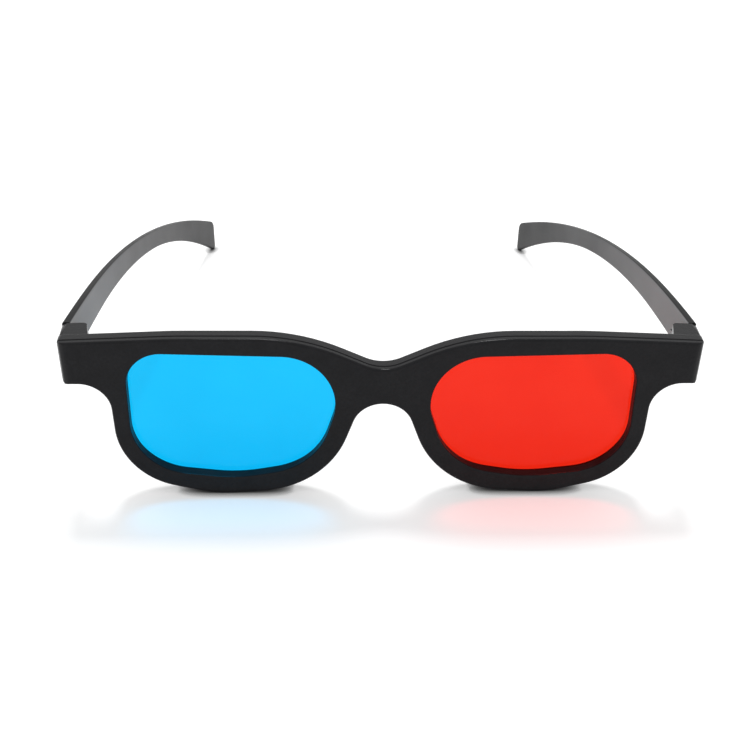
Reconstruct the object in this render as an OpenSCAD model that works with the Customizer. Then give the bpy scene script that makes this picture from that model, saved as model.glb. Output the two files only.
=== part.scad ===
// Red and cyan viewing glasses: a two-shell moulded front that clamps two colour
// filters, and two thin bowed temples on vertical pins.
// Millimetres, +Z up, the front looks along -Y, the wearer's left is +X.

/* [Front outline] */
// Width of the front over both end pieces
front_w = 148.4; // [140:0.2:160]
// Height of the front at the crest of each lobe
front_h = 42.6; // [38:0.1:48]
// Distance of each crest from the middle
crest_x = 48; // [44:0.5:52]
// Distance of each shoulder corner from the middle
shoulder_x = 19.5; // [18:0.5:22]
// Drop of the top edge from the crests to the middle of the bridge
bridge_drop = 8.1; // [7:0.1:9.5]
// Height of the bridge over the nose gap
bridge_h = 9.2; // [7.5:0.1:9.5]
// Drop of the top edge from the crests to an end piece
end_drop = 1.1; // [0.8:0.1:3]
// Height of an end piece
end_h = 10.7; // [9:0.1:11.5]
// Reach of an end piece beyond the rim
end_reach = 10.55; // [9:0.05:12]
// Step in of the outer side of a rim towards its lower corner
rim_cheek_in = 0.45; // [0:0.05:1.5]
// Height of that corner before rounding
rim_cheek_z = 5.3; // [4:0.1:7]
// Place of the lowest corner of a rim, as a share of the way from the nose to its outer side
rim_sag_share = 0.545; // [0.5:0.005:0.6]
// Height of the lowest corner before rounding
rim_sag_z = -0.4; // [-1:0.1:0]
// Half width of the nose gap at its foot
nose_foot_x = 13.8; // [13:0.1:14.4]
// Height of the foot of the nose gap before rounding
nose_foot_z = 1.4; // [1:0.1:3]
// Lean of the sides of the nose gap from upright, in degrees
nose_lean = 19.9; // [19:0.1:21]

/* [Front corner radii] */
// Radius at the bottom of the bridge dip
dip_r = 10; // [6:0.5:12]
// Radius of the shoulders beside the bridge
shoulder_r = 50; // [30:1:52]
// Radius of the crests
crest_r = 120; // [60:5:160]
// Radius of the end piece corners
end_r = 1.5; // [1.2:0.1:2.5]
// Radius under the end pieces
armpit_r = 7; // [5:0.5:8]
// Radius of the lower outer corners of the rims
rim_cheek_r = 17; // [14:0.5:18]
// Radius at the lowest part of a rim
rim_sag_r = 28.5; // [22:0.5:34]
// Radius of the lower corners beside the nose, as a share of the height of the front
rim_nose_share = 0.545; // [0.45:0.005:0.56]
// Radius in plan of the outer front edge of an end piece
end_plan_r = 2.4; // [1.5:0.1:2.5]

/* [Lens opening] */
// Upper corner towards the end piece: rim beside it
lens_end_in = 4.35; // [3.8:0.05:5]
// Upper corner towards the end piece: drop from the crests
lens_end_drop = 3.7; // [3:0.1:4.2]
// Upper corner towards the end piece: radius as a share of the width of the opening
lens_end_share = 0.195; // [0.16:0.001:0.25]
// Upper corner towards the bridge: distance from the middle
lens_bridge_x = 6.7; // [6:0.1:8]
// Upper corner towards the bridge: drop from the crests
lens_bridge_drop = 5.1; // [4.6:0.1:6]
// Upper corner towards the bridge: radius as a share of the width of the opening
lens_bridge_share = 0.293; // [0.25:0.001:0.32]
// Lower corner towards the nose: distance from the middle
lens_nose_x = 16.2; // [15.5:0.1:17.5]
// Lower corner towards the nose: height
lens_nose_z = 7.7; // [6.8:0.1:8.5]
// Lower corner towards the nose: radius as a share of the width of the opening
lens_nose_share = 0.389; // [0.32:0.001:0.4]
// Lowest corner: place as a share of the way from the nose to the outer side
lens_sag_place = 0.435; // [0.4:0.005:0.5]
// Lowest corner: height
lens_sag_z = 4.2; // [3.6:0.05:5]
// Lowest corner: radius as a share of the width of the opening
lens_sag_share = 0.824; // [0.65:0.001:0.9]
// Lower outer corner: rim beside it
lens_cheek_in = 3.75; // [3.3:0.05:4.5]
// Lower outer corner: height
lens_cheek_z = 7.2; // [6.8:0.1:8.5]
// Lower outer corner: radius as a share of the width of the opening
lens_cheek_share = 0.318; // [0.27:0.001:0.34]

/* [Shells] */
// Thickness of the front cover
cover_t = 2.6; // [2.5:0.1:3.2]
// Thickness of the rear frame
rear_t = 2.4; // [2.2:0.1:3]
// Rounding of the front outer edge
front_edge_r = 0.9; // [0.5:0.1:1.1]
// Rounding of the rear outer edge
rear_edge_r = 0.7; // [0.4:0.1:0.9]
// Rounding of the front edge of an opening
opening_edge_r = 0.5; // [0.3:0.1:0.6]
// Rounding of the rear edge of an opening
opening_rear_r = 1.3; // [0.5:0.1:1.5]
// Bevel on both shells along the seam
seam_bevel = 0.2; // [0.1:0.05:0.3]
// Radius of a locating peg
peg_r = 0.6; // [0.4:0.1:0.8]
// Length of a locating peg in the cover
peg_l = 1.3; // [0.8:0.1:1.4]
// Distance of the bridge pegs from the middle
peg_bridge_x = 4.5; // [3:0.1:6]
// Height of the pegs under the openings
peg_low_z = 1.5; // [1.3:0.1:1.6]
// Distance of the end pegs from the outer side
peg_end_in = 5.4; // [5:0.1:6]

/* [Filters] */
// Thickness of a filter sheet
filter_t = 0.7; // [0.4:0.1:0.9]
// How far a filter reaches under the rim
filter_lip = 1.4; // [1.2:0.1:1.5]
// How far the opening of the rear frame is wider all round
rear_wider = 0.7; // [0.4:0.1:0.8]

/* [Hinges] */
// Distance of a pin from the outer side
pin_inset = 3.4; // [3.2:0.1:3.8]
// Radius of a hinge pin
pin_r = 0.75; // [0.6:0.05:0.9]
// Distance of a pin behind the rear frame
pin_back = 3.3; // [3.2:0.1:4.5]
// Reach of the ears round a pin
ear_r = 2.1; // [1.9:0.1:2.3]
// Radius of the inner rear corner of the ears
ear_corner_r = 1.3; // [1.2:0.1:1.6]
// Height of the middle leaf on the temple
leaf_h = 4.6; // [4:0.1:5]
// Plain material over the blind top of the pin hole
ear_cap = 0.9; // [0.6:0.1:1.2]
// Step from the outline of an end piece in to the block behind it
block_inset = 0.1; // [0.05:0.05:0.3]
// Wall of the block beside the leaf
block_wall = 0.95; // [0.8:0.05:1.1]
// Reach of the web of the leaf inwards of the pin
web_in = 1.2; // [1:0.1:1.6]
// Reach of the web along the temple
web_back = 2.6; // [2:0.1:4]

/* [Temples] */
// Reach of a temple behind its hinge face
arm_reach = 141; // [120:0.5:150]
// Thickness of a temple at the hinge
arm_t = 2.2; // [1.8:0.1:2.4]
// Thickness of a temple at the tip
arm_tip_t = 1.6; // [1.4:0.1:2]
// Toe-in of a temple at the hinge, in degrees
arm_toe = 3.2; // [2:0.05:4]
// Extra inward bow at the tip
arm_bow = 9.8; // [8:0.2:15]
// Height of the top edge at the hinge over the corner of the end piece
arm_rise = 0.5; // [0:0.1:1]
// Height of a temple at the hinge
arm_root_h = 9.5; // [9:0.1:11]
// Height of a temple at its slimmest place
arm_waist_h = 5.4; // [4:0.1:6]
// Distance of the slimmest place behind the hinge
arm_waist_y = 79; // [60:1:85]
// Height of a temple at the tip
arm_tip_h = 10.8; // [8:0.1:12]
// Sharpness of the flare of a temple towards its ends
arm_flare = 1.75; // [1.5:0.05:2.2]
// Rounding along the edges of a temple
arm_edge_r = 0.6; // [0.4:0.05:0.8]
// Corner radius at the tip
arm_tip_r = 2.2; // [1:0.1:2.6]

/* [Clearances] */
// Gap between a temple and the end block that stops it
stop_gap = 0.35; // [0.3:0.05:0.5]
// Running clearance of a pin in the leaf
leaf_clear = 0.05; // [0.02:0.01:0.09]
// Clearance of a pin in the ears
ear_clear = 0.02; // [0.01:0.01:0.05]
// Gap above, below and beside the leaf
leaf_gap = 0.15; // [0.1:0.05:0.3]
// Gap round a filter in its seat
filter_gap = 0.1; // [0.05:0.05:0.2]
// Clearance round a peg
peg_gap = 0.1; // [0.05:0.05:0.2]
// Gap at each end of a pin
pin_gap = 0.1; // [0.05:0.05:0.2]

/* [Hidden] */
$fn = 48;
over = 0.5;
arc_step = 7.5;
arc_chord = 0.3;
edge_step = 30;
arm_parts = 30;
tip_thin = 0.35;
least_flat = 0.05;
shell_black = "#2a2a2c";
half_w = front_w / 2;
bridge_top_z = front_h - bridge_drop;
nose_top_z = bridge_top_z - bridge_h;
end_top_z = front_h - end_drop;
end_low_z = end_top_z - end_h;
rim_nose_r = rim_nose_share * front_h;
rim_half_w = half_w - end_reach;
rim_cheek_x = rim_half_w - rim_cheek_in;
rim_sag_x = nose_foot_x + rim_sag_share * (rim_cheek_x - nose_foot_x);
lens_end_x = rim_half_w - lens_end_in;
lens_end_z = front_h - lens_end_drop;
lens_bridge_z = front_h - lens_bridge_drop;
lens_cheek_x = rim_half_w - lens_cheek_in;
lens_w = lens_cheek_x - lens_nose_x;
lens_sag_x = lens_nose_x + lens_sag_place * lens_w;
arm_top_z = end_top_z + arm_rise;
seam_y = cover_t;
back_y = cover_t + rear_t;
pin_x = half_w - pin_inset;
pin_y = back_y + pin_back;
block_y = pin_y + ear_r;
block_low_z = end_low_z + block_inset;
block_top_z = end_top_z - block_inset;
root_y = block_y + stop_gap;
leaf_z = (block_low_z + block_top_z - leaf_h) / 2;
slot_z = leaf_z - leaf_gap;
slot_h = leaf_h + 2 * leaf_gap;
slot_y = pin_y - ear_r - leaf_gap;
wall_x = half_w - block_wall;
pin_low_z = block_low_z + pin_gap;
hole_top_z = block_top_z - ear_cap;
pin_top_z = hole_top_z - pin_gap;

// Corners [x, z, radius] of the right half of the front, from the bridge over the end piece to the nose
dip_slope = atan((front_h - bridge_top_z) / shoulder_x);
dip_z = bridge_top_z - dip_r * (1 / cos(dip_slope) - 1);
apex_z = nose_foot_z + nose_foot_x / tan(nose_lean);
arch_r = (apex_z - nose_top_z) / (1 / sin(nose_lean) - 1);
side_corners = [
    [shoulder_x, front_h, shoulder_r],
    [crest_x, front_h, crest_r],
    [half_w, end_top_z, end_r],
    [half_w, end_low_z, end_r],
    [rim_half_w, end_low_z, armpit_r],
    [rim_cheek_x, rim_cheek_z, rim_cheek_r],
    [rim_sag_x, rim_sag_z, rim_sag_r],
    [nose_foot_x, nose_foot_z, rim_nose_r]
];
last = len(side_corners) - 1;
front_corners = concat(
    [[0, apex_z, arch_r]],
    [for (i = [last:-1:0]) side_corners[i]],
    [[0, dip_z, dip_r]],
    [for (c = side_corners) [-c[0], c[1], c[2]]]
);

// Corners of the right opening, counter-clockwise from the bridge side
lens_corners = [
    [lens_bridge_x, lens_bridge_z, lens_bridge_share * lens_w],
    [lens_nose_x, lens_nose_z, lens_nose_share * lens_w],
    [lens_sag_x, lens_sag_z, lens_sag_share * lens_w],
    [lens_cheek_x, lens_cheek_z, lens_cheek_share * lens_w],
    [lens_end_x, lens_end_z, lens_end_share * lens_w]
];

peg_places = [
    [half_w - peg_end_in, (end_top_z + end_low_z) / 2],
    [peg_bridge_x, (bridge_top_z + nose_top_z) / 2],
    [lens_sag_x, peg_low_z]
];

function unit(v) = v / norm(v);

// Arc of a rounded corner: centre, radius, first angle, signed sweep, side of the material
function corner_arc(p, q, n) =
    let (
        a = unit([p[0] - q[0], p[1] - q[1]]),
        b = unit([n[0] - q[0], n[1] - q[1]]),
        half = acos(a * b) / 2,
        side = a[0] * b[1] - a[1] * b[0] < 0 ? 1 : -1,
        centre = [q[0], q[1]] + unit(a + b) * q[2] / sin(half),
        start = [q[0], q[1]] + a * q[2] / tan(half) - centre
    )
    [centre, q[2], atan2(start[1], start[0]), side * (180 - 2 * half), side];

// Point of an arc at a share of its sweep, moved outwards by grow
function arc_point(arc, share, grow = 0) =
    let (t = arc[2] + arc[3] * share)
    arc[0] + (arc[1] + arc[4] * grow) * [cos(t), sin(t)];

// Chords of an arc: none turns by more than arc_step unless it would be shorter than arc_chord
function arc_steps(arc) =
    max(2, min(ceil(abs(arc[3]) / arc_step), floor(arc[1] * abs(arc[3]) * PI / 180 / arc_chord)));

// Closed outline of rounded corners, moved outwards by grow; arcs that nearly touch share one point
function outline(corners, grow = 0) =
    let (
        k = len(corners),
        arcs = [for (i = [0:k - 1])
            corner_arc(corners[(i + k - 1) % k], corners[i], corners[(i + 1) % k])]
    )
    [for (i = [0:k - 1])
        let (
            steps = arc_steps(arcs[i]),
            side = norm(arc_point(arcs[(i + 1) % k], 0) - arc_point(arcs[i], 1))
        )
        for (j = [0:side < arc_chord ? steps - 1 : steps]) arc_point(arcs[i], j / steps, grow)];

// Triangles of a closed loft: sides between rings, and a cap at each end
function loft_faces(n, rings) = concat(
    [[for (j = [n - 1:-1:0]) j]],
    [for (i = [0:rings - 2], j = [0:n - 1])
        [i * n + j, i * n + (j + 1) % n, (i + 1) * n + (j + 1) % n]],
    [for (i = [0:rings - 2], j = [0:n - 1])
        [i * n + j, (i + 1) * n + (j + 1) % n, (i + 1) * n + j]],
    [[for (j = [0:n - 1]) (rings - 1) * n + j]]
);

// Loft through one outline at depths [y, grow]
module layered(corners, layers) {
    rings = [for (l = layers) [for (p = outline(corners, l[1])) [p[0], l[0], p[1]]]];
    polyhedron(
        points = [for (r = rings) each r],
        faces = loft_faces(len(rings[0]), len(rings))
    );
}

// Layers of a quarter round of radius r behind the face at y, or in front of it
function round_in(y, r) = [for (t = [0:edge_step:90]) [y + r * (1 - cos(t)), r * (sin(t) - 1)]];
function round_out(y, r) = [for (t = [0:edge_step:90]) [y - r + r * sin(t), -r * (1 - cos(t))]];

// The same rounds on the edge of an opening
function flare_in(y, r) = [for (l = round_in(y, r)) [l[0], -l[1]]];
function flare_out(y, r) = [for (l = round_out(y, r)) [l[0], -l[1]]];

// Flat slab across the whole front between two depths
module slab(y0, y1) {
    translate([-front_w, y0, -front_h]) cube([2 * front_w, y1 - y0, 3 * front_h]);
}

// Both sides of the front from the right-hand one
module both() {
    children();
    mirror([1, 0, 0]) children();
}

// Places of the locating pegs, turned to run along Y
module at_pegs() {
    for (p = peg_places)
        translate([p[0], seam_y, p[1]]) rotate([90, 0, 0]) children();
}

// Block behind an end piece, with its outline: ears round the pin
module hinge_block() {
    intersection() {
        translate([0, 0, -front_h]) linear_extrude(3 * front_h) {
            translate([pin_x - ear_r, back_y - rear_edge_r - over])
                square([pin_inset + ear_r, block_y - ear_corner_r - back_y + rear_edge_r + over]);
            translate([pin_x - ear_r + ear_corner_r, block_y - ear_corner_r]) circle(ear_corner_r);
            translate([pin_x - ear_r + ear_corner_r, back_y])
                square([pin_inset + ear_r - ear_corner_r, block_y - back_y]);
        }
        translate([0, block_y + over, 0]) rotate([90, 0, 0])
            linear_extrude(block_y - seam_y + over) polygon(outline(front_corners, -block_inset));
    }
}

// Slot for the leaf and the hole for the pin
module hinge_slot() {
    translate([pin_x - ear_r - over, slot_y, slot_z])
        cube([wall_x - pin_x + ear_r + over, block_y - slot_y + over, slot_h]);
    translate([pin_x, pin_y, end_low_z - over])
        cylinder(r = pin_r + ear_clear, h = hole_top_z - end_low_z + over);
}

module front_cover() {
    color(shell_black) difference() {
        intersection() {
            slab(0, seam_y);
            layered(front_corners, concat(
                [[-over, -front_edge_r]],
                round_in(0, front_edge_r),
                [[seam_y - seam_bevel, 0], [seam_y, -seam_bevel], [seam_y + over, -seam_bevel]]
            ));
        }
        both() layered(lens_corners, concat(
            [[-over, opening_edge_r]],
            flare_in(0, opening_edge_r),
            [[seam_y + over, 0]]
        ));
        both() at_pegs() cylinder(r = peg_r + peg_gap, h = peg_l + peg_gap);
        both() difference() {
            translate([half_w - end_plan_r, -over, 0])
                cube([end_plan_r + over, end_plan_r + over, front_h]);
            translate([half_w - end_plan_r, end_plan_r, -over])
                cylinder(r = end_plan_r, h = front_h + 2 * over);
        }
    }
}

module rear_frame() {
    color(shell_black) {
        difference() {
            union() {
                intersection() {
                    slab(seam_y, back_y);
                    layered(front_corners, concat(
                        [[seam_y - over, -seam_bevel], [seam_y, -seam_bevel], [seam_y + seam_bevel, 0]],
                        round_out(back_y, rear_edge_r),
                        [[back_y + over, -rear_edge_r]]
                    ));
                }
                both() hinge_block();
            }
            both() layered(lens_corners, concat(
                [[seam_y - over, rear_wider]],
                [for (l = flare_out(back_y, opening_rear_r)) [l[0], l[1] + rear_wider]],
                [[back_y + over, opening_rear_r + rear_wider]]
            ));
            both() translate([0, seam_y + filter_t + filter_gap, 0]) rotate([90, 0, 0])
                linear_extrude(filter_t + filter_gap + over)
                    polygon(outline(lens_corners, filter_lip + filter_gap));
            both() hinge_slot();
        }
        both() at_pegs() translate([0, 0, -over]) cylinder(r = peg_r, h = peg_l + over);
    }
}

// A flat filter sheet behind the right-hand opening
module filter_sheet() {
    translate([0, seam_y + filter_t, 0]) rotate([90, 0, 0])
        linear_extrude(filter_t) polygon(outline(lens_corners, filter_lip));
}

module red_filter() {
    color([0.96, 0.21, 0.15, 0.75]) filter_sheet();
}

module cyan_filter() {
    color([0.14, 0.76, 0.98, 0.75]) mirror([1, 0, 0]) filter_sheet();
}

// Height of the temple at a distance u behind its root
function arm_h(u) =
    u < arm_waist_y
    ? arm_waist_h + (arm_root_h - arm_waist_h) * pow(1 - u / arm_waist_y, arm_flare)
    : arm_waist_h
        + (arm_tip_h - arm_waist_h) * pow((u - arm_waist_y) / (arm_reach - arm_waist_y), arm_flare);

// Outer top edge of the temple at a distance u behind its root
function arm_edge(u) = [
    half_w - tan(arm_toe) * u - arm_bow * pow(u / arm_reach, 2),
    root_y + u,
    arm_top_z - (arm_top_z - arm_tip_h) * pow(u / arm_reach, 2)
];

// Heading of the temple in plan, in degrees towards the middle
function arm_heading(u) = atan(tan(arm_toe) + 2 * arm_bow * u / pow(arm_reach, 2));

// One upright section of the temple, less trim at its top and bottom and less thin at each face
function arm_ring(u, trim, thin) =
    let (
        e = arm_edge(u),
        a = arm_heading(u),
        w = arm_t - (arm_t - arm_tip_t) * (1 - pow(1 - u / arm_reach, 2)) - 2 * thin,
        h = arm_h(u) - 2 * trim,
        r = min(arm_edge_r, w / 2 - least_flat),
        rounds = [[-r, r - h, -90], [-r, -r, 0], [r - w, -r, 90], [r - w, r - h, 180]]
    )
    [for (c = rounds, t = [0:edge_step:90])
        let (
            x = c[0] - thin + r * cos(c[2] + t),
            z = c[1] - trim + r * sin(c[2] + t)
        )
        [e[0] + x * cos(a), e[1] + x * sin(a), e[2] + z]];

// Stations along the temple: [distance, trim, thin]
arm_stations = concat(
    [for (i = [0:arm_parts]) [(arm_reach - arm_tip_r) * i / arm_parts, 0, 0]],
    [for (t = [edge_step:edge_step:90]) [
        arm_reach - arm_tip_r * (1 - sin(t)),
        arm_tip_r * (1 - cos(t)),
        tip_thin * arm_edge_r * (1 - cos(t))
    ]]
);
arm_rings = [for (s = arm_stations) arm_ring(s[0], s[1], s[2])];
arm_low = min([for (r = arm_rings, p = r) p[2]]);
arm_far = max([for (r = arm_rings, p = r) p[1]]);
rim_low = min([for (p = outline(front_corners)) p[1]]);

// Temple on the wearer's left, with its leaf round the pin
module temple() {
    difference() {
        union() {
            polyhedron(
                points = [for (r = arm_rings, p = r)
                    [p[0], p[1], p[2] - (arm_low - rim_low) * pow((p[1] - root_y) / arm_reach, 2)]],
                faces = loft_faces(len(arm_rings[0]), len(arm_rings))
            );
            translate([0, 0, leaf_z]) linear_extrude(leaf_h) {
                translate([pin_x, pin_y]) circle(ear_r);
                translate([pin_x - web_in, pin_y])
                    square([wall_x - leaf_gap - pin_x + web_in, root_y + web_back - pin_y]);
            }
        }
        translate([pin_x, pin_y, leaf_z - over]) cylinder(r = pin_r + leaf_clear, h = leaf_h + 2 * over);
    }
}

module left_temple() {
    color(shell_black) temple();
}

module right_temple() {
    color(shell_black) mirror([1, 0, 0]) temple();
}

// Plain pin pushed up into an end block
module hinge_pin() {
    translate([pin_x, pin_y, pin_low_z]) cylinder(r = pin_r, h = pin_top_z - pin_low_z);
}

module left_hinge_pin() {
    color("silver") hinge_pin();
}

module right_hinge_pin() {
    color("silver") mirror([1, 0, 0]) hinge_pin();
}

// The origin lies under the middle of the glasses, halfway from the front face to the tips
module centred() {
    translate([0, -arm_far / 2, -rim_low]) children();
}

centred() front_cover();
centred() rear_frame();
centred() cyan_filter();
centred() red_filter();
centred() right_temple();
centred() left_temple();
centred() right_hinge_pin();
centred() left_hinge_pin();
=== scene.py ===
import math

import bmesh
import bpy
from mathutils import Matrix, Vector


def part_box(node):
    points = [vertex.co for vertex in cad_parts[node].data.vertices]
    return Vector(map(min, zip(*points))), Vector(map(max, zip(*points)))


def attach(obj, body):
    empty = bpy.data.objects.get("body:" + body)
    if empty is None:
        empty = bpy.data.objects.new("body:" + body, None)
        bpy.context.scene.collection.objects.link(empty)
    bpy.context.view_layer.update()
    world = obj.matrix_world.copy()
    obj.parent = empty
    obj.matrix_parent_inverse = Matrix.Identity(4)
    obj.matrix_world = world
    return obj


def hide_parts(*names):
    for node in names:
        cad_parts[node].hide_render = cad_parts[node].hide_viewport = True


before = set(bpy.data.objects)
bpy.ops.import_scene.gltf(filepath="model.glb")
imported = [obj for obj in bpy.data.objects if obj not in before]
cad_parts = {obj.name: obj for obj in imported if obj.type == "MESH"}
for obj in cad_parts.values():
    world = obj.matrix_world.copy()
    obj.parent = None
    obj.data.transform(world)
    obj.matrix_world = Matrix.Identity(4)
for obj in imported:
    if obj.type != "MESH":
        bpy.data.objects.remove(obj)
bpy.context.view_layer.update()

mm = 0.001
weldMm = 0.0005           # points closer together than this are one
scene = bpy.context.scene
scene.view_settings.view_transform = "Standard"
print("frame loaded:", ", ".join(sorted(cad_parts)))


def hexLinear(code):
    parts = [int(code[i:i + 2], 16) / 255 for i in (1, 3, 5)]
    return [p / 12.92 if p <= 0.04045 else ((p + 0.055) / 1.055) ** 2.4 for p in parts] + [1.0]


def addNode(tree, kind, settings=None, inputs=None):
    # sockets go by name or number: a colour mix takes its share at 0 and its colours at 6 and 7,
    # and gives the result at 2
    node = tree.nodes.new(kind)
    for key, value in (settings or {}).items():
        setattr(node, key, value)
    for key, value in (inputs or {}).items():
        if isinstance(value, bpy.types.NodeSocket):
            tree.links.new(value, node.inputs[key])
        else:
            node.inputs[key].default_value = value
    return node


def newMaterial(name):
    material = bpy.data.materials.new(name)
    material.use_nodes = True
    material.node_tree.nodes.clear()
    return material, material.node_tree


def newObject(name, mesh):
    obj = bpy.data.objects.new(name, mesh)
    scene.collection.objects.link(obj)
    return obj


def settle(obj):
    # the evaluated shape becomes a plain mesh, with no modifier left on it
    depsgraph = bpy.context.evaluated_depsgraph_get()
    mesh = bpy.data.meshes.new_from_object(obj.evaluated_get(depsgraph))
    obj.modifiers.clear()
    obj.data = mesh
    return obj


def smoothFaces(obj, sharpAngle):
    # broad flats keep their own normal and the small rounds turn between them
    bm = bmesh.new()
    bm.from_mesh(obj.data)
    bmesh.ops.remove_doubles(bm, verts=bm.verts, dist=weldMm * mm)
    bmesh.ops.recalc_face_normals(bm, faces=bm.faces)
    bm.to_mesh(obj.data)
    bm.free()
    obj.data.shade_smooth()
    obj.data.set_sharp_from_angle(angle=math.radians(sharpAngle))
    weighted = obj.modifiers.new("weighted", "WEIGHTED_NORMAL")
    weighted.keep_sharp = True
    return settle(obj)


def place(obj, body, slotName, material, *nodes):
    obj.data.materials.clear()
    obj.data.materials.append(material)
    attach(obj, body)
    if nodes:
        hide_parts(*nodes)


# camera where the photograph was taken from, about 0.27 m from the front and above it
cameraSizes = {
    "place": (-10.41, -293.24, 158.45),
    "forward": (0.04027, 0.84122, -0.53918),
    "right": (0.99886, -0.04782, 0.0),
    "roll": -1.298,
    "lens": 52.03,
    "sensor": 36.0,
    "shift": (-0.0102, 0.0701),
    "clip": 10.0,
}
forward = Vector(cameraSizes["forward"]).normalized()
level = Vector(cameraSizes["right"]).normalized()
upright = level.cross(forward)
roll = math.radians(cameraSizes["roll"])
camRight = level * math.cos(roll) - upright * math.sin(roll)
camUp = level * math.sin(roll) + upright * math.cos(roll)
camera = bpy.data.objects.new("camera", bpy.data.cameras.new("camera"))
scene.collection.objects.link(camera)
camera.data.lens = cameraSizes["lens"]
camera.data.sensor_width = cameraSizes["sensor"]
camera.data.shift_x, camera.data.shift_y = cameraSizes["shift"]
camera.data.clip_start = cameraSizes["clip"] * mm
turn = Matrix((camRight, camUp, -forward)).transposed().to_4x4()
camera.matrix_world = Matrix.Translation(Vector(cameraSizes["place"]) * mm) @ turn
scene.camera = camera
print("camera set")


# injection-moulded ABS, satin from a finely etched mould: deep black with a soft even
# sheen and a fine grain, and rounded edges that handling has polished in patches
shellFinish = {
    "dark": "#161618", "pale": "#1f1f21", "specular": 0.11,
    "grainMm": 0.6,       # etched grain is finer than a pixel, so it is drawn this coarse
    "cloudMm": 5.0,       # slow change of sheen from the flow of the plastic
    "roughLow": 0.28, "roughHigh": 0.42, "bumpMm": 0.07, "bump": 0.5,
    # share of the normal along y: 0 on the walls, 1 on the faces, and the rounds between
    "wallTo": 0.04, "roundFrom": 0.12, "roundTo": 0.5, "faceFrom": 0.68,
    "polishedRough": 0.04,
}
# the temples: the same plastic, with a painted sheen on the wearer's side: grey, palest
# by the hinge
templeFinish = {
    "dark": "#181819", "pale": "#1f1f20", "specular": 0.1,
    "grainMm": 0.5, "cloudMm": 14.0,
    "roughLow": 0.34, "roughHigh": 0.44, "bumpMm": 0.03, "bump": 0.3,
    # the painted sheen runs from the tip to the hinge, along y
    "paintedSheenRoot": "#8f8f90", "paintedSheenTip": "#303031",
    "fadeFromMm": 70.0, "fadeToMm": -66.0, "fadePower": 1.7,
    # share of the normal that looks outwards, below 0 on the wearer's side
    "innerFrom": -0.4, "innerTo": -0.8,
}
# both plastics: detail of the grain and the cloud, and the part of each that shows
absSizes = {
    "grainDetail": 2.0, "grainRough": 0.6, "cloudDetail": 3.0, "ior": 1.53,
    "toneFrom": 0.1, "toneTo": 0.4, "cloudFrom": 0.3, "cloudTo": 0.7,
}


def polishedRounds(tree, where, colour, rough, tone, finish):
    # only the rounds between the walls and the faces are rubbed smooth, where the tone is pale
    looks = addNode(tree, "ShaderNodeSeparateXYZ", None, {0: where["Normal"]})
    along = addNode(tree, "ShaderNodeMath", {"operation": "ABSOLUTE"}, {0: looks.outputs[1]})
    offWall = addNode(tree, "ShaderNodeMapRange", None, {
        "Value": along.outputs[0], "From Min": finish["wallTo"], "From Max": finish["roundFrom"]})
    offFace = addNode(tree, "ShaderNodeMapRange", None, {
        "Value": along.outputs[0], "From Min": finish["faceFrom"], "From Max": finish["roundTo"]})
    rounds = addNode(tree, "ShaderNodeMath", {"operation": "MULTIPLY"}, {
        0: offWall.outputs[0], 1: offFace.outputs[0]})
    patches = addNode(tree, "ShaderNodeMath", {"operation": "MULTIPLY"}, {
        0: rounds.outputs[0], 1: tone})
    rubbed = addNode(tree, "ShaderNodeMapRange", None, {
        "Value": patches.outputs[0], "To Min": rough, "To Max": finish["polishedRough"]})
    return colour, rubbed.outputs[0]


def paintedSheenInside(tree, where, colour, rough, tone, finish):
    # painted sheen on the wearer's side, the one that looks towards the middle, on either temple
    looks = addNode(tree, "ShaderNodeSeparateXYZ", None, {0: where["Normal"]})
    spot = addNode(tree, "ShaderNodeSeparateXYZ", None, {0: where["Object"]})
    side = addNode(tree, "ShaderNodeMath", {"operation": "SIGN"}, {0: spot.outputs[0]})
    outwards = addNode(tree, "ShaderNodeMath", {"operation": "MULTIPLY"}, {
        0: side.outputs[0], 1: looks.outputs[0]})
    inner = addNode(tree, "ShaderNodeMapRange", None, {
        "Value": outwards.outputs[0],
        "From Min": finish["innerFrom"], "From Max": finish["innerTo"]})
    ahead = addNode(tree, "ShaderNodeMapRange", None, {
        "Value": spot.outputs[1],
        "From Min": finish["fadeFromMm"] * mm, "From Max": finish["fadeToMm"] * mm})
    near = addNode(tree, "ShaderNodeMath", {"operation": "POWER"}, {
        0: ahead.outputs[0], 1: finish["fadePower"]})
    # painted sheen: a grey colour, palest by the hinge and darker towards the tip
    paintedSheen = addNode(tree, "ShaderNodeMix", {"data_type": "RGBA"}, {
        0: near.outputs[0], 6: hexLinear(finish["paintedSheenTip"]), 7: hexLinear(finish["paintedSheenRoot"])})
    faded = addNode(tree, "ShaderNodeMix", {"data_type": "RGBA"}, {
        0: inner.outputs[0], 6: colour, 7: paintedSheen.outputs[2]})
    return faded.outputs[2], rough


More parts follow.
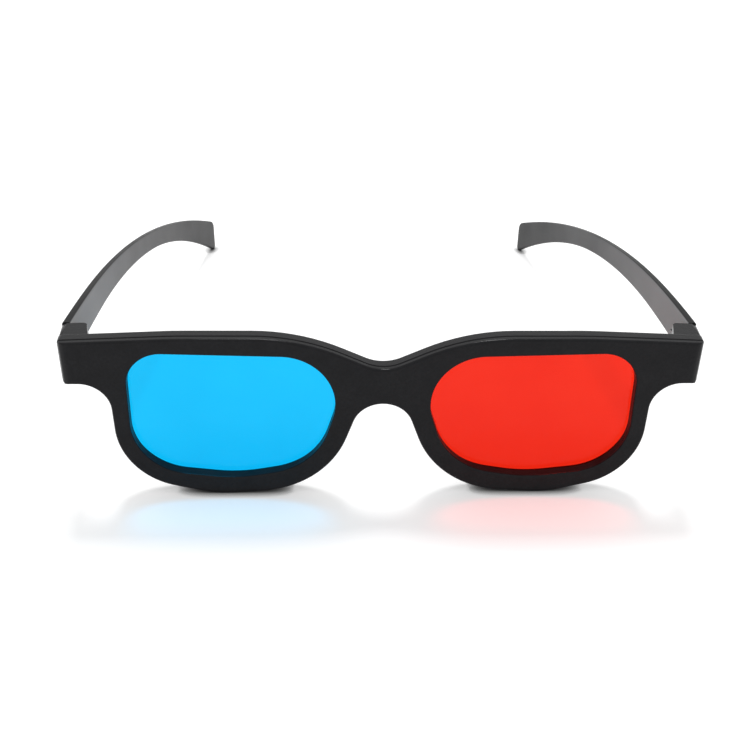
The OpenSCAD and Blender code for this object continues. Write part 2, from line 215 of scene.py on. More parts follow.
def mouldedAbs(name, finish, trim):
    material, tree = newMaterial(name)
    where = addNode(tree, "ShaderNodeTexCoord").outputs
    grain = addNode(tree, "ShaderNodeTexNoise", None, {
        "Vector": where["Object"], "Scale": 1 / (finish["grainMm"] * mm),
        "Detail": absSizes["grainDetail"], "Roughness": absSizes["grainRough"]})
    cloud = addNode(tree, "ShaderNodeTexNoise", None, {
        "Vector": where["Object"], "Scale": 1 / (finish["cloudMm"] * mm),
        "Detail": absSizes["cloudDetail"]})
    both = addNode(tree, "ShaderNodeMath", {"operation": "MULTIPLY"}, {
        0: grain.outputs[0], 1: cloud.outputs[0]})
    tone = addNode(tree, "ShaderNodeMapRange", None, {
        "Value": both.outputs[0],
        "From Min": absSizes["toneFrom"], "From Max": absSizes["toneTo"]})
    face = addNode(tree, "ShaderNodeMix", {"data_type": "RGBA"}, {
        0: tone.outputs[0], 6: hexLinear(finish["dark"]), 7: hexLinear(finish["pale"])})
    sheen = addNode(tree, "ShaderNodeMapRange", None, {
        "Value": cloud.outputs[0],
        "From Min": absSizes["cloudFrom"], "From Max": absSizes["cloudTo"],
        "To Min": finish["roughLow"], "To Max": finish["roughHigh"]})
    colour, rough = trim(tree, where, face.outputs[2], sheen.outputs[0], tone.outputs[0], finish)
    bump = addNode(tree, "ShaderNodeBump", None, {
        "Strength": finish["bump"], "Distance": finish["bumpMm"] * mm,
        "Height": grain.outputs[0]})
    surface = addNode(tree, "ShaderNodeBsdfPrincipled", None, {
        "Base Color": colour, "Roughness": rough, "Specular IOR Level": finish["specular"],
        "IOR": absSizes["ior"], "Normal": bump.outputs[0]})
    addNode(tree, "ShaderNodeOutputMaterial", None, {"Surface": surface.outputs[0]})
    return material


satinAbs = mouldedAbs("moulded_satin_black_abs", shellFinish, polishedRounds)
matteAbs = mouldedAbs("moulded_matte_black_abs", templeFinish, paintedSheenInside)

# dyed acetate sheet, cast and die-cut: clear deep colour, faint cloudiness of the dye
# and a smooth gloss that is a little wavy
filterFinish = {
    "cyan": ("#07B1E9", "#0FB8EE"), "red": ("#E02210", "#E62C17"),
    "cloudMm": 16.0, "cloudDetail": 2.0,
    "waveMm": 22.0, "waveDetail": 1.0, "waveBumpMm": 0.08, "wave": 0.12,
    "gloss": 0.05, "mirrorFacing": 0.013, "mirrorGrazing": 0.9, "grazingPower": 5.0,
    "faceShare": 0.5,     # light crosses both faces of the sheet, and each takes half of the dye
}


def dyedAcetate(name, tints):
    material, tree = newMaterial(name)
    spot = addNode(tree, "ShaderNodeTexCoord").outputs["Object"]
    cloud = addNode(tree, "ShaderNodeTexNoise", None, {
        "Vector": spot, "Scale": 1 / (filterFinish["cloudMm"] * mm),
        "Detail": filterFinish["cloudDetail"]})
    wave = addNode(tree, "ShaderNodeTexNoise", None, {
        "Vector": spot, "Scale": 1 / (filterFinish["waveMm"] * mm),
        "Detail": filterFinish["waveDetail"]})
    colour = addNode(tree, "ShaderNodeMix", {"data_type": "RGBA"}, {
        0: cloud.outputs[0], 6: hexLinear(tints[0]), 7: hexLinear(tints[1])})
    dye = addNode(tree, "ShaderNodeGamma", None, {
        "Color": colour.outputs[2], "Gamma": filterFinish["faceShare"]})
    bump = addNode(tree, "ShaderNodeBump", None, {
        "Strength": filterFinish["wave"], "Distance": filterFinish["waveBumpMm"] * mm,
        "Height": wave.outputs[0]})
    clear = addNode(tree, "ShaderNodeBsdfTransparent", None, {"Color": dye.outputs[0]})
    gloss = addNode(tree, "ShaderNodeBsdfAnisotropic", None, {
        "Roughness": filterFinish["gloss"], "Normal": bump.outputs[0]})
    # the same gloss from both sides, so that light passes a face on its way in and out
    facing = addNode(tree, "ShaderNodeLayerWeight", None, {"Normal": bump.outputs[0]})
    grazing = addNode(tree, "ShaderNodeMath", {"operation": "POWER"}, {
        0: facing.outputs["Facing"], 1: filterFinish["grazingPower"]})
    mirror = addNode(tree, "ShaderNodeMapRange", None, {
        "Value": grazing.outputs[0], "To Min": filterFinish["mirrorFacing"],
        "To Max": filterFinish["mirrorGrazing"]})
    sheet = addNode(tree, "ShaderNodeMixShader", None, {
        0: mirror.outputs[0], 1: clear.outputs[0], 2: gloss.outputs[0]})
    addNode(tree, "ShaderNodeOutputMaterial", None, {"Surface": sheet.outputs[0]})
    return material


cyanAcetate = dyedAcetate("dyed_cyan_acetate", filterFinish["cyan"])
redAcetate = dyedAcetate("dyed_red_acetate", filterFinish["red"])

# drawn steel wire: bright, with fine lines along its length
pinFinish = {
    "steel": "#B9BBBD", "lineMm": 0.05, "lineDetail": 2.0, "squeeze": (1.0, 1.0, 0.05),
    "roughLow": 0.25, "roughHigh": 0.45,
}


def drawnSteel():
    material, tree = newMaterial("drawn_steel_wire")
    spot = addNode(tree, "ShaderNodeTexCoord").outputs["Object"]
    along = addNode(tree, "ShaderNodeMapping", None, {
        "Vector": spot, "Scale": pinFinish["squeeze"]})
    lines = addNode(tree, "ShaderNodeTexNoise", None, {
        "Vector": along.outputs[0], "Scale": 1 / (pinFinish["lineMm"] * mm),
        "Detail": pinFinish["lineDetail"]})
    rough = addNode(tree, "ShaderNodeMapRange", None, {
        "Value": lines.outputs[0],
        "To Min": pinFinish["roughLow"], "To Max": pinFinish["roughHigh"]})
    surface = addNode(tree, "ShaderNodeBsdfPrincipled", None, {
        "Base Color": hexLinear(pinFinish["steel"]), "Metallic": 1.0,
        "Roughness": rough.outputs[0]})
    addNode(tree, "ShaderNodeOutputMaterial", None, {"Surface": surface.outputs[0]})
    return material


pinSteel = drawnSteel()
print("materials made")


# front in mm, with y = 0 on its face: corners of one half and of one opening as (x, z, radius)
frontSizes = {
    "halfW": 74.2,
    "side": [(19.5, 42.6, 50), (48, 42.6, 120), (74.2, 41.5, 0.8), (74.2, 30.8, 0.8),
             (63.65, 30.8, 7), (63.2, 5.3, 17), (40.72, -0.4, 28.5), (13.8, 1.4, 23.22)],
    "noseLean": 19.9, "noseTop": 25.3, "bridgeTop": 34.5, "dipRadius": 10.0,
    "lens": [(6.7, 37.5, 12.8), (16.2, 7.7, 17), (35.21, 4.2, 36), (59.9, 7.2, 13.9),
             (59.3, 38.9, 8.52)],
    # depths: the filters lie at the seam, and its line shows further forward
    "seam": 2.6, "seamLine": 1.75, "seamBevel": 0.32, "back": 5.0,
    "frontEdge": 0.6, "rearEdge": 0.7, "openingEdge": 0.5, "openingRear": 1.3, "rearWider": 0.7,
    # round of the end pieces in plan, the cuts that carry it, and their run out to the temples
    "endPlan": 2.4, "endCuts": (0.0, 0.2, 0.4), "cutSlack": 0.001,
    "splay": 0.65, "splayTo": 10.4, "splayWall": 0.9,
    "filterGap": 0.1, "filterLip": 1.4, "filterThick": 0.7,
    # degrees of arc to a step, steps to a round, the gap that closes, and the sharpest soft edge
    "arcStep": 3.0, "roundSteps": 6, "touching": 0.05, "sharp": 38,
}


def frontCorners():
    side = frontSizes["side"]
    footX, footZ = side[-1][:2]
    lean = math.radians(frontSizes["noseLean"])
    apex = footZ + footX / math.tan(lean)
    arch = (apex - frontSizes["noseTop"]) / (1 / math.sin(lean) - 1)
    slope = math.atan((side[0][1] - frontSizes["bridgeTop"]) / side[0][0])
    dip = frontSizes["bridgeTop"] - frontSizes["dipRadius"] * (1 / math.cos(slope) - 1)
    mirrored = [(-x, z, r) for x, z, r in side]
    return [(0, apex, arch)] + side[::-1] + [(0, dip, frontSizes["dipRadius"])] + mirrored


def cornerArc(before, corner, after):
    spot = Vector(corner[:2])
    a = (Vector(before[:2]) - spot).normalized()
    b = (Vector(after[:2]) - spot).normalized()
    half = math.acos(a.dot(b)) / 2
    side = 1 if a.x * b.y - a.y * b.x < 0 else -1
    centre = spot + (a + b).normalized() * (corner[2] / math.sin(half))
    start = spot + a * (corner[2] / math.tan(half)) - centre
    return centre, corner[2], math.atan2(start.y, start.x), side * (math.pi - 2 * half), side


def arcPoint(arc, share, grow=0.0):
    centre, radius, first, sweep, side = arc
    t = first + sweep * share
    return centre + Vector((math.cos(t), math.sin(t))) * (radius + side * grow)


def outline(corners, grow=0.0):
    count = len(corners)
    arcs = [cornerArc(corners[i - 1], corners[i], corners[(i + 1) % count])
            for i in range(count)]
    points = []
    for i, arc in enumerate(arcs):
        steps = max(2, math.ceil(abs(math.degrees(arc[3])) / frontSizes["arcStep"]))
        apart = (arcPoint(arcs[(i + 1) % count], 0) - arcPoint(arc, 1)).length
        for j in range(steps if apart < frontSizes["touching"] else steps + 1):
            points.append(arcPoint(arc, j / steps, grow))
    return points


frontOutline = frontCorners()
rimLow = min(p.y for p in outline(frontOutline))
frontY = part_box("front_cover")[0][1] / mm


def spotOf(x, y, z):
    # from the front's own frame, with y = 0 on its front face, to the part's frame in metres
    return Vector((x, y + frontY, z - rimLow)) * mm


def quarter(face, radius, inwards, sign):
    # layers (depth, grow) of a quarter round at the face, on the outside or round an opening
    layers = []
    for i in range(frontSizes["roundSteps"] + 1):
        t = math.pi / 2 * i / frontSizes["roundSteps"]
        if inwards:
            depth, grow = face + radius * (1 - math.cos(t)), radius * (math.sin(t) - 1)
        else:
            depth, grow = face - radius + radius * math.sin(t), radius * (math.cos(t) - 1)
        layers.append((depth, sign * grow))
    return layers


def ringWall(bm, rings):
    for low, high in zip(rings, rings[1:]):
        for j in range(len(low)):
            k = (j + 1) % len(low)
            bm.faces.new((low[j], low[k], high[k], high[j]))


def ringEdges(bm, ring):
    return [bm.edges.get((ring[j], ring[(j + 1) % len(ring)])) for j in range(len(ring))]


def shellMesh(name, outerLayers, lensLayers):
    bm = bmesh.new()
    walls = [[[bm.verts.new(spotOf(p.x, y, p.y)) for p in outline(frontOutline, grow)]
              for y, grow in outerLayers]]
    for side in (1, -1):
        walls.append([[bm.verts.new(spotOf(side * p.x, y, p.y))
                       for p in outline(frontSizes["lens"], grow)] for y, grow in lensLayers])
    for rings in walls:
        ringWall(bm, rings)
    for end in (0, -1):
        edges = [e for rings in walls for e in ringEdges(bm, rings[end])]
        bmesh.ops.triangle_fill(bm, use_beauty=True, use_dissolve=False, edges=edges)
    mesh = bpy.data.meshes.new(name)
    bm.to_mesh(mesh)
    bm.free()
    return mesh


def roundEndPieces(mesh):
    # the outer front corner of each end piece is a round in plan
    radius = frontSizes["endPlan"]
    inner = frontSizes["halfW"] - radius
    bm = bmesh.new()
    bm.from_mesh(mesh)
    for side in (1, -1):
        for share in frontSizes["endCuts"]:
            geometry = bm.verts[:] + bm.edges[:] + bm.faces[:]
            cut = side * (inner + share * radius) * mm
            bmesh.ops.bisect_plane(bm, geom=geometry, plane_co=(cut, 0, 0), plane_no=(1, 0, 0),
                                   dist=frontSizes["cutSlack"] * mm)
    for vert in bm.verts:
        across = abs(vert.co.x) / mm - inner
        depth = vert.co.y / mm - frontY - radius
        reach = math.hypot(across, depth)
        if across > 0 and depth < 0 and reach > radius:
            vert.co.x = math.copysign((inner + across * radius / reach) * mm, vert.co.x)
            vert.co.y = (frontY + radius + depth * radius / reach) * mm
    bm.to_mesh(mesh)
    bm.free()


def splaySides(mesh):
    # behind the seam the outer sides of the end pieces run a little outwards to the temples
    inner = frontSizes["halfW"] - frontSizes["splayWall"]
    rate = frontSizes["splay"] / (frontSizes["splayTo"] - frontSizes["seamLine"])
    for vert in mesh.vertices:
        share = min(1.0, (abs(vert.co.x) / mm - inner) / frontSizes["splayWall"])
        depth = vert.co.y / mm - frontY - frontSizes["seamLine"]
        if share > 0 and depth > 0:
            vert.co.x += math.copysign(rate * share * depth * mm, vert.co.x)


seam, back, seamLine = frontSizes["seam"], frontSizes["back"], frontSizes["seamLine"]
bevel, gap = frontSizes["seamBevel"], frontSizes["filterGap"]
lip = frontSizes["filterLip"] + gap
rebate = seam + frontSizes["filterThick"] + gap

coverMesh = shellMesh(
    "front_cover_shell",
    quarter(0, frontSizes["frontEdge"], True, 1) + [(seamLine - bevel, 0), (seamLine, -bevel)],
    quarter(0, frontSizes["openingEdge"], True, -1) + [(seam, 0)])
roundEndPieces(coverMesh)
coverShell = smoothFaces(newObject("front_cover_shell", coverMesh), frontSizes["sharp"])
place(coverShell, "front", "shell", satinAbs, "front_cover")

wider = frontSizes["rearWider"]
rearRound = quarter(back, frontSizes["openingRear"], False, -1)
rearOpening = [(y, grow + wider) for y, grow in rearRound]
rearMesh = shellMesh(
    "rear_frame_shell",
    [(seamLine, -bevel), (seamLine + bevel, 0)] + quarter(back, frontSizes["rearEdge"], False, 1),
    [(seam, lip), (rebate, lip), (rebate, wider)] + rearOpening)
splaySides(rearMesh)
rearShell = smoothFaces(newObject("rear_frame_shell", rearMesh), frontSizes["sharp"])
place(rearShell, "front", "shell", satinAbs, "rear_frame")
print("front shells lofted")


# die-cut filter sheets clamped between the shells
filterSizes = {"edge": 0.08, "thick": frontSizes["filterThick"], "sharp": 20}


def filterSheet(name, side):
    edge, thick = filterSizes["edge"], filterSizes["thick"]
    layers = [(seam, -edge), (seam + edge, 0), (seam + thick - edge, 0), (seam + thick, -edge)]
    bm = bmesh.new()
    rings = [[bm.verts.new(spotOf(side * p.x, y, p.y))
              for p in outline(frontSizes["lens"], frontSizes["filterLip"] + grow)]
             for y, grow in layers]
    ringWall(bm, rings)
    bm.faces.new(rings[0])
    bm.faces.new(rings[-1])
    mesh = bpy.data.meshes.new(name)
    bm.to_mesh(mesh)
    bm.free()
    return smoothFaces(newObject(name, mesh), filterSizes["sharp"])


place(filterSheet("cyan_filter_sheet", -1), "front", "cyan_sheet", cyanAcetate, "cyan_filter")
place(filterSheet("red_filter_sheet", 1), "front", "red_sheet", redAcetate, "red_filter")
print("filters cut")


# clevis blocks behind the end pieces, and the leaves on the temples that turn in them
hingeSizes = {
    # pin as (x, y), ranges as (low, high), web as (inner, outer, rear)
    "pin": (70.8, 8.3), "ear": 2.1, "earCorner": 1.3, "foot": 1.2, "from": 4.0, "inset": 0.1,
    "slot": (33.7, 38.6), "slotWall": 73.25, "slotFront": 6.05, "hole": 0.77, "holeTop": 40.5,
    "leaf": (33.85, 38.45), "web": (69.6, 73.1, 13.35), "bore": 0.8,
    # the tools reach past what they cut
    "blank": (25, 45), "outlineFrom": 3, "holeFrom": 30, "over": 1,
    "softEdge": 0.14, "softSteps": 2, "softAngle": 50, "sharp": 32,
    "cornerSteps": 12, "leafSteps": 40, "holeSteps": 48,
}


def prism(name, points, low, high, upAxis):
    # a straight prism over a closed path, along z over (x, y) or along y over (x, z)
    bm = bmesh.new()
    ends = []
    for at in (low, high):
        ends.append([bm.verts.new(spotOf(a, b, at) if upAxis else spotOf(a, at, b))
                     for a, b in points])
    ringWall(bm, ends)
    bm.faces.new(ends[0])
    bm.faces.new(ends[1])
    bmesh.ops.recalc_face_normals(bm, faces=bm.faces)
    mesh = bpy.data.meshes.new(name)
    bm.to_mesh(mesh)
    bm.free()
    return newObject(name, mesh)


def ringAt(centre, radius, first, last, steps):
    angles = [math.radians(first + (last - first) * i / steps) for i in range(steps + 1)]
    return [(centre[0] + radius * math.cos(t), centre[1] + radius * math.sin(t)) for t in angles]


def wholeRing(centre, radius):
    steps = hingeSizes["holeSteps"]
    return ringAt(centre, radius, 0, 360 - 360 / steps, steps - 1)


def carve(body, cuts):
    # booleans in order, then a small soft edge, as one plain mesh
    for operation, tool in cuts:
        step = body.modifiers.new("carve", "BOOLEAN")
        step.operation, step.object, step.solver = operation, tool, "EXACT"
    soft = body.modifiers.new("soft", "BEVEL")
    soft.width, soft.segments = hingeSizes["softEdge"] * mm, hingeSizes["softSteps"]
    soft.limit_method, soft.angle_limit = "ANGLE", math.radians(hingeSizes["softAngle"])
    settle(body)
    for operation, tool in cuts:
        bpy.data.objects.remove(tool)
    return body


def mirrored(obj, name):
    mesh = obj.data.copy()
    mesh.transform(Matrix.Diagonal((-1, 1, 1, 1)))
    mesh.flip_normals()
    return newObject(name, mesh)


def hingePair(name, builder, bodies, slotName, material):
    left = builder("left_" + name)
    right = mirrored(left, "right_" + name)
    for obj, body in ((left, bodies[0]), (right, bodies[1])):
        place(smoothFaces(obj, hingeSizes["sharp"]), body, slotName, material)


def hingeBlock(name):
    pin, ear, half = hingeSizes["pin"], hingeSizes["ear"], frontSizes["halfW"]
    corner, first, over = hingeSizes["earCorner"], hingeSizes["from"], hingeSizes["over"]
    inner, rear = pin[0] - ear, pin[1] + ear
    plan = [(inner - hingeSizes["foot"], first), (half, first), (half, rear)]
    plan += ringAt((inner + corner, rear - corner), corner, 90, 180, hingeSizes["cornerSteps"])
    inset = [(p.x, p.y) for p in outline(frontOutline, -hingeSizes["inset"])]
    wall, front = hingeSizes["slotWall"], hingeSizes["slotFront"]
    slot = [(inner - over, front), (wall, front), (wall, rear + over), (inner - over, rear + over)]
    hole, holeFrom = wholeRing(pin, hingeSizes["hole"]), hingeSizes["holeFrom"]
    block = carve(prism(name, plan, *hingeSizes["blank"], True), [
        ("INTERSECT", prism("outlineTool", inset, hingeSizes["outlineFrom"], rear + over, False)),
        ("DIFFERENCE", prism("slotTool", slot, *hingeSizes["slot"], True)),
        ("DIFFERENCE", prism("holeTool", hole, holeFrom, hingeSizes["holeTop"], True))])
    splaySides(block.data)
    return block


def templeLeaf(name):
    pin, ear = hingeSizes["pin"], hingeSizes["ear"]
    inner, outer, rear = hingeSizes["web"]
    meets = math.degrees(math.acos((inner - pin[0]) / ear))
    plan = [(outer, pin[1]), (outer, rear), (inner, rear)]
    plan += ringAt(pin, ear, meets, 360, hingeSizes["leafSteps"])
    low, high = hingeSizes["leaf"]
    over = hingeSizes["over"]
    bore = wholeRing(pin, hingeSizes["bore"])
    return carve(prism(name, plan, low, high, True), [
        ("DIFFERENCE", prism("boreTool", bore, low - over, high + over, True))])


hingePair("hinge_block", hingeBlock, ("front", "front"), "shell", satinAbs)
hingePair("temple_leaf", templeLeaf, ("left_arm", "right_arm"), "temple", matteAbs)
print("hinges carved")


# temples: one section swept back from the hinge, bowed in, drooping and flared at both ends
templeSizes = {
    "Reach": 141.0, "Thickness": 2.2, "Tip Thickness": 1.6, "Toe": math.tan(math.radians(3.2)),
    "Bow": 9.8, "Top": 42.0, "Root Height": 9.5, "Waist Height": 5.4, "Waist Place": 79.0,
    "Tip Height": 10.8, "Flare": 1.75, "Edge Radius": 0.6, "Tip Radius": 2.2, "Tip Thin": 0.21,
    "Outer Side": frontSizes["halfW"], "Root": 10.75, "Root Splay": frontSizes["splay"],
    "Root Drop": 0.5, "Root Blend": 22.0, "Section Height": 8.0, "Sink": 0.0,
}
# sections, steps to an edge, where the round of the tip is tried, and the sharpest soft edge
templeBuild = {"stations": 110, "edgeSteps": 6, "tipAngles": (30, 60, 90), "sharp": 40}
# sums of the sweep in order, each as (result, operation, first value, second value)
templeSteps = [
    # place along the temple, closer together towards the tip
    ("turn", "MULTIPLY", "along", math.pi / 2), ("wave", "SINE", "turn", 0),
    ("u", "MULTIPLY", "wave", "Reach"), ("g", "DIVIDE", "u", "Reach"),
    ("gg", "MULTIPLY", "g", "g"),
    # height of the section: root flare, waist, tip flare
    ("frontShare", "DIVIDE", "u", "Waist Place"), ("frontLeft", "SUBTRACT", 1, "frontShare"),
    ("frontOver", "MAXIMUM", "frontLeft", 0), ("frontCurve", "POWER", "frontOver", "Flare"),
    ("rootMore", "SUBTRACT", "Root Height", "Waist Height"),
    ("rootPart", "MULTIPLY", "frontCurve", "rootMore"),
    ("past", "SUBTRACT", "u", "Waist Place"), ("behind", "SUBTRACT", "Reach", "Waist Place"),
    ("rearShare", "DIVIDE", "past", "behind"), ("rearOver", "MAXIMUM", "rearShare", 0),
    ("rearCurve", "POWER", "rearOver", "Flare"),
    ("tipMore", "SUBTRACT", "Tip Height", "Waist Height"),
    ("tipPart", "MULTIPLY", "rearCurve", "tipMore"), ("flared", "ADD", "rootPart", "tipPart"),
    ("fullHeight", "ADD", "flared", "Waist Height"),
    # the top runs down to the end block over the first stretch
    ("rootGone", "DIVIDE", "u", "Root Blend"), ("rootLeft", "SUBTRACT", 1, "rootGone"),
    ("rootOver", "MAXIMUM", "rootLeft", 0), ("rootSquare", "MULTIPLY", "rootOver", "rootOver"),
    ("rootDown", "MULTIPLY", "rootSquare", "Root Drop"),
    ("height", "SUBTRACT", "fullHeight", "rootDown"),
    # rounding of the tip
    ("tipStart", "SUBTRACT", "Reach", "Tip Radius"), ("tipPast", "SUBTRACT", "u", "tipStart"),
    ("tipIn", "MAXIMUM", "tipPast", 0), ("tipShare", "DIVIDE", "tipIn", "Tip Radius"),
    ("tipSquare", "MULTIPLY", "tipShare", "tipShare"), ("tipRest", "SUBTRACT", 1, "tipSquare"),
    ("tipSafe", "MAXIMUM", "tipRest", 0), ("tipRoot", "SQRT", "tipSafe", 0),
    ("tipOver", "SUBTRACT", 1, "tipRoot"),
    ("trim", "MULTIPLY", "tipOver", "Tip Radius"), ("thin", "MULTIPLY", "tipOver", "Tip Thin"),
    # outer top edge and heading
    ("toeIn", "MULTIPLY", "u", "Toe"), ("bowIn", "MULTIPLY", "gg", "Bow"),
    ("allIn", "ADD", "toeIn", "bowIn"),
    ("rootOut", "MULTIPLY", "rootSquare", "Root Splay"), ("sideX", "ADD", "Outer Side", "rootOut"),
    ("edgeX", "SUBTRACT", "sideX", "allIn"), ("edgeY", "ADD", "u", "Root"),
    ("drop", "SUBTRACT", "Top", "Tip Height"), ("dropSink", "ADD", "drop", "Sink"),
    ("dropped", "MULTIPLY", "dropSink", "gg"), ("allDown", "ADD", "dropped", "rootDown"),
    ("edgeZ", "SUBTRACT", "Top", "allDown"),
    ("bowTwice", "MULTIPLY", "Bow", 2), ("bowRate", "DIVIDE", "bowTwice", "Reach"),
    ("bowLean", "MULTIPLY", "bowRate", "g"), ("lean", "ADD", "bowLean", "Toe"),
    ("heading", "ARCTANGENT", "lean", 0),
    ("headCos", "COSINE", "heading", 0), ("headSin", "SINE", "heading", 0),
    # the section across the temple
    ("rest", "SUBTRACT", 1, "g"), ("restSquare", "MULTIPLY", "rest", "rest"),
    ("taper", "SUBTRACT", 1, "restSquare"), ("tipLess", "SUBTRACT", "Thickness", "Tip Thickness"),
    ("less", "MULTIPLY", "taper", "tipLess"), ("thick", "SUBTRACT", "Thickness", "less"),
    ("halfThick", "MULTIPLY", "thick", 0.5), ("halfKept", "SUBTRACT", "halfThick", "thin"),
    ("plainThick", "MULTIPLY", "Thickness", 0.5), ("sideKeep", "DIVIDE", "halfKept", "plainThick"),
    ("across", "MULTIPLY", "sectionX", "sideKeep"), ("inwards", "SUBTRACT", "across", "halfThick"),
    ("x1", "MULTIPLY", "inwards", "headCos"), ("xMm", "ADD", "edgeX", "x1"),
    ("y1", "MULTIPLY", "inwards", "headSin"), ("yMm", "ADD", "edgeY", "y1"),
    ("sign", "SIGN", "sectionY", 0), ("size", "ABSOLUTE", "sectionY", 0),
    ("plainHalf", "MULTIPLY", "Section Height", 0.5), ("halfHeight", "MULTIPLY", "height", 0.5),
    ("corner", "SUBTRACT", "size", "plainHalf"), ("cut", "SUBTRACT", "halfHeight", "trim"),
    ("reachZ", "ADD", "corner", "cut"), ("upDown", "MULTIPLY", "reachZ", "sign"),
    ("middle", "SUBTRACT", "edgeZ", "halfHeight"), ("zMm", "ADD", "middle", "upDown"),
]


def tipSink():
    # how far the tip comes down so that it rests on the table with the rims
    s = templeSizes
    lows = []
    for t in [math.radians(a) for a in templeBuild["tipAngles"]]:
        u = s["Reach"] - s["Tip Radius"] * (1 - math.sin(t))
        share = (u - s["Waist Place"]) / (s["Reach"] - s["Waist Place"])
        height = s["Waist Height"] + (s["Tip Height"] - s["Waist Height"]) * share ** s["Flare"]
        top = s["Top"] - (s["Top"] - s["Tip Height"]) * (u / s["Reach"]) ** 2
        lows.append(top - height + s["Tip Radius"] * (1 - math.cos(t)))
    return min(lows) - rimLow


def templeTree():
    tree = bpy.data.node_groups.new("temple_sweep", "GeometryNodeTree")
    tree.interface.new_socket(name="Geometry", in_out="OUTPUT", socket_type="NodeSocketGeometry")
    for name in templeSizes:
        tree.interface.new_socket(name=name, in_out="INPUT", socket_type="NodeSocketFloat")
    tree.interface.new_socket(name="Finish", in_out="INPUT", socket_type="NodeSocketMaterial")
    given = addNode(tree, "NodeGroupInput").outputs
    known = {name: given[name] for name in templeSizes}
    line = addNode(tree, "GeometryNodeCurvePrimitiveLine", None, {"End": (0.0, 1.0, 0.0)})
    stations = addNode(tree, "GeometryNodeResampleCurve", None, {
        "Curve": line.outputs[0], "Count": templeBuild["stations"]})
    factor = addNode(tree, "GeometryNodeSplineParameter")
    path = addNode(tree, "GeometryNodeCaptureAttribute", None, {"Geometry": stations.outputs[0]})
    path.capture_items.new("FLOAT", "along")
    tree.links.new(factor.outputs["Factor"], path.inputs["along"])
    known["along"] = path.outputs["along"]
    block = addNode(tree, "GeometryNodeCurvePrimitiveQuadrilateral", None, {
        "Width": known["Thickness"], "Height": known["Section Height"]})
    fillet = addNode(tree, "GeometryNodeFilletCurve", {"mode": "POLY"}, {
        "Curve": block.outputs[0], "Radius": known["Edge Radius"],
        "Count": templeBuild["edgeSteps"]})
    section = addNode(tree, "GeometryNodeCaptureAttribute", None, {"Geometry": fillet.outputs[0]})
    section.capture_items.new("VECTOR", "section")
    position = addNode(tree, "GeometryNodeInputPosition")
    tree.links.new(position.outputs[0], section.inputs["section"])
    split = addNode(tree, "ShaderNodeSeparateXYZ", None, {0: section.outputs["section"]})
    known["sectionX"], known["sectionY"] = split.outputs[0], split.outputs[1]
    sweep = addNode(tree, "GeometryNodeCurveToMesh", None, {
        "Curve": path.outputs[0], "Profile Curve": section.outputs[0], "Fill Caps": True})
    for name, operation, a, b in templeSteps:
        step = addNode(tree, "ShaderNodeMath", {"operation": operation}, {
            0: known.get(a, a), 1: known.get(b, b)})
        known[name] = step.outputs[0]
    spot = addNode(tree, "ShaderNodeCombineXYZ", None, {
        0: known["xMm"], 1: known["yMm"], 2: known["zMm"]})
    shaped = addNode(tree, "GeometryNodeSetPosition", None, {
        "Geometry": sweep.outputs[0], "Position": spot.outputs[0]})
    real = addNode(tree, "GeometryNodeRealizeInstances", None, {"Geometry": shaped.outputs[0]})
    finished = addNode(tree, "GeometryNodeSetMaterial", None, {
        "Geometry": real.outputs[0], "Material": given["Finish"]})
    addNode(tree, "NodeGroupOutput", None, {"Geometry": finished.outputs[0]})
    return tree


templeSizes["Sink"] = tipSink()
sweepTree = templeTree()
leftTemple = newObject("left_temple_arm", bpy.data.meshes.new("left_temple_arm"))
sweepModifier = leftTemple.modifiers.new("sweep", "NODES")
sweepModifier.node_group = sweepTree
for item in sweepTree.interface.items_tree:
    if item.in_out == "INPUT":
        given = matteAbs if item.name == "Finish" else templeSizes[item.name]
        sweepModifier[item.identifier] = given
settle(leftTemple)
leftTemple.data.transform(Matrix.Translation(spotOf(0, 0, 0)) @ Matrix.Scale(mm, 4))
rightTemple = mirrored(leftTemple, "right_temple_arm")
for temple in (leftTemple, rightTemple):
    smoothFaces(temple, templeBuild["sharp"])
place(leftTemple, "left_arm", "temple", matteAbs, "left_temple")
place(rightTemple, "right_arm", "temple", matteAbs, "right_temple")
print("temples swept")

# the pins keep the part's own meshes
for node in ("left_hinge_pin", "right_hinge_pin"):
    pinObject = bpy.data.objects[node]
    pinObject.data.materials.clear()
    pinObject.data.materials.append(pinSteel)


def seesWhite(tree):
    # camera, glossy and transmitted rays all see the white background
    rays = addNode(tree, "ShaderNodeLightPath").outputs
    first = addNode(tree, "ShaderNodeMath", {"operation": "MAXIMUM"}, {
        0: rays["Is Camera Ray"], 1: rays["Is Glossy Ray"]})
    return addNode(tree, "ShaderNodeMath", {"operation": "MAXIMUM"}, {
        0: first.outputs[0], 1: rays["Is Transmission Ray"]}).outputs[0]


# white laminate table: pale and a little glossy, with its edges out of view
tableSizes = {
    "half": 3.0, "white": "#F6F6F6", "paintedShade": "#484848", "rough": 0.35, "specular": 0.12,
    "lift": 0.28, "nearMm": 2.2, "nearSamples": 16, "nearPower": 2.0,
}
tableMaterial, tree = newMaterial("white_laminate_table")
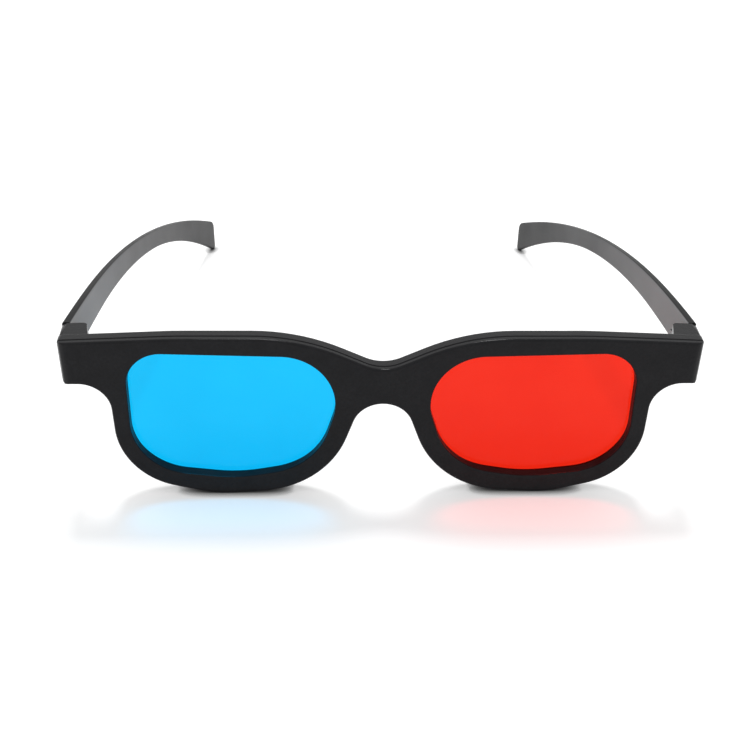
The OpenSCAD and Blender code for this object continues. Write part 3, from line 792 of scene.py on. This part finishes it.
# painted shade: the white and its lift fade to dark grey where the object comes close, on top of
# the cast shadow
openness = addNode(tree, "ShaderNodeAmbientOcclusion", {"samples": tableSizes["nearSamples"]}, {
    "Distance": tableSizes["nearMm"] * mm})
clearOf = addNode(tree, "ShaderNodeMath", {"operation": "POWER"}, {
    0: openness.outputs["AO"], 1: tableSizes["nearPower"]})
white = addNode(tree, "ShaderNodeMix", {"data_type": "RGBA"}, {
    0: clearOf.outputs[0], 6: hexLinear(tableSizes["paintedShade"]), 7: hexLinear(tableSizes["white"])})
laminate = addNode(tree, "ShaderNodeBsdfPrincipled", None, {
    "Base Color": white.outputs[2], "Roughness": tableSizes["rough"],
    "Specular IOR Level": tableSizes["specular"]})
lift = addNode(tree, "ShaderNodeMath", {"operation": "MULTIPLY"}, {
    0: clearOf.outputs[0], 1: tableSizes["lift"]})
glow = addNode(tree, "ShaderNodeEmission", None, {"Strength": lift.outputs[0]})
none = addNode(tree, "ShaderNodeEmission", None, {"Strength": 0.0})
seen = addNode(tree, "ShaderNodeMixShader", None, {
    0: seesWhite(tree), 1: none.outputs[0], 2: glow.outputs[0]})
lifted = addNode(tree, "ShaderNodeAddShader", None, {0: laminate.outputs[0], 1: seen.outputs[0]})
addNode(tree, "ShaderNodeOutputMaterial", None, {"Surface": lifted.outputs[0]})
half = tableSizes["half"]
tableMesh = bpy.data.meshes.new("table")
corners = [(-half, -half, 0), (half, -half, 0), (half, half, 0), (-half, half, 0)]
tableMesh.from_pydata(corners, [], [(0, 1, 2, 3)])
tableMesh.materials.append(tableMaterial)
table = newObject("table", tableMesh)

# a half-metre softbox behind and above, and even white light all round, in metres and watts
lightSizes = {
    "boxPlace": (0.0, 1.0, 2.1), "boxSize": 0.5, "boxPower": 20.0,
    "white": (1.0, 1.0, 1.0, 1.0), "fill": 0.75, "seen": 1.0,
}
softbox = bpy.data.lights.new("softbox", "AREA")
softbox.shape, softbox.size = "SQUARE", lightSizes["boxSize"]
softbox.energy = lightSizes["boxPower"]
softboxObject = bpy.data.objects.new("softbox", softbox)
scene.collection.objects.link(softboxObject)
boxPlace = Vector(lightSizes["boxPlace"])
softboxObject.location = boxPlace
softboxObject.rotation_euler = (-boxPlace).to_track_quat("-Z", "Y").to_euler()

world = bpy.data.worlds.new("studio")
scene.world = world
world.use_nodes = True
sky = world.node_tree
sky.nodes.clear()
strength = addNode(sky, "ShaderNodeMapRange", None, {
    "Value": seesWhite(sky), "To Min": lightSizes["fill"], "To Max": lightSizes["seen"]})
backdrop = addNode(sky, "ShaderNodeBackground", None, {
    "Color": lightSizes["white"], "Strength": strength.outputs[0]})
addNode(sky, "ShaderNodeOutputWorld", None, {"Surface": backdrop.outputs[0]})
print("table and light set")
